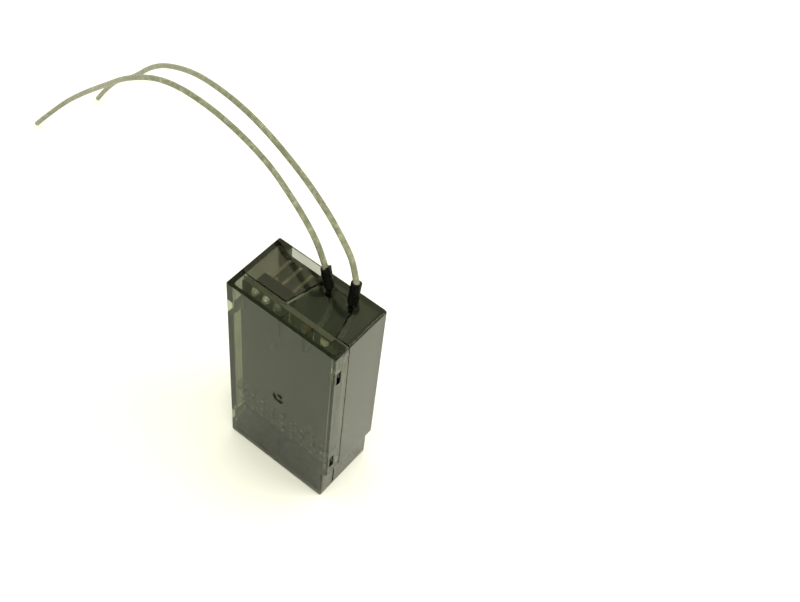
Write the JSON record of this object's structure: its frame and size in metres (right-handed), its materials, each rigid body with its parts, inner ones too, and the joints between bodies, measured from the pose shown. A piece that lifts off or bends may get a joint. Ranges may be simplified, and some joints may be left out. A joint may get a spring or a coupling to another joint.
{
  "type": "rc receiver",
  "caption": "Radio control receiver in a smoke-clear snap case, with servo ports at its foot and bendable coax antennas out of its top.",
  "frame": {"origin": "bottom centre of the case, at the end with the servo ports", "axes": "+Z from the servo ports up to the antennas, +X right along the front face, +Y from the front face to the back"},
  "size_m": [0.1208, 0.049, 0.0609],
  "materials": {
    "smoke_case": "gloss",
    "board": "satin",
    "socket_plastic": "matte",
    "pin_gold": "polished",
    "solder": "satin",
    "shield_steel": "satin",
    "chip_black": "matte",
    "lead_tin": "satin",
    "crystal_steel": "polished",
    "capacitor_tan": "satin",
    "resistor_dark": "satin",
    "led_white": "gloss",
    "sleeve_black": "satin",
    "coax_grey": "gloss"
  },
  "bodies": {
    "root": {"front_shell": "smoke_case", "rear_shell": "smoke_case", "circuit_board": "board", "servo_header_left": "socket_plastic", "servo_header_right": "socket_plastic", "plug_guide_front": "socket_plastic", "plug_guide_rear": "socket_plastic", "signal_pins": "pin_gold", "power_pins": "pin_gold", "ground_pins": "pin_gold", "servo_solder_joints": "solder", "data_port_header": "socket_plastic", "data_port_pins": "pin_gold", "data_port_solder_joints": "solder", "radio_shield_can": "shield_steel", "radio_chip": "chip_black", "main_processor": "chip_black", "processor_leads": "lead_tin", "voltage_regulator": "chip_black", "crystal": "crystal_steel", "capacitors": "capacitor_tan", "resistors": "resistor_dark", "status_led": "led_white", "antenna_solder_pads": "solder", "antenna_sleeve_left": "sleeve_black", "antenna_sleeve_right": "sleeve_black", "antenna_tail_left": "coax_grey", "antenna_tail_right": "coax_grey", "antenna_wire_left": "coax_grey", "antenna_wire_right": "coax_grey"}
  },
  "joints": []
}
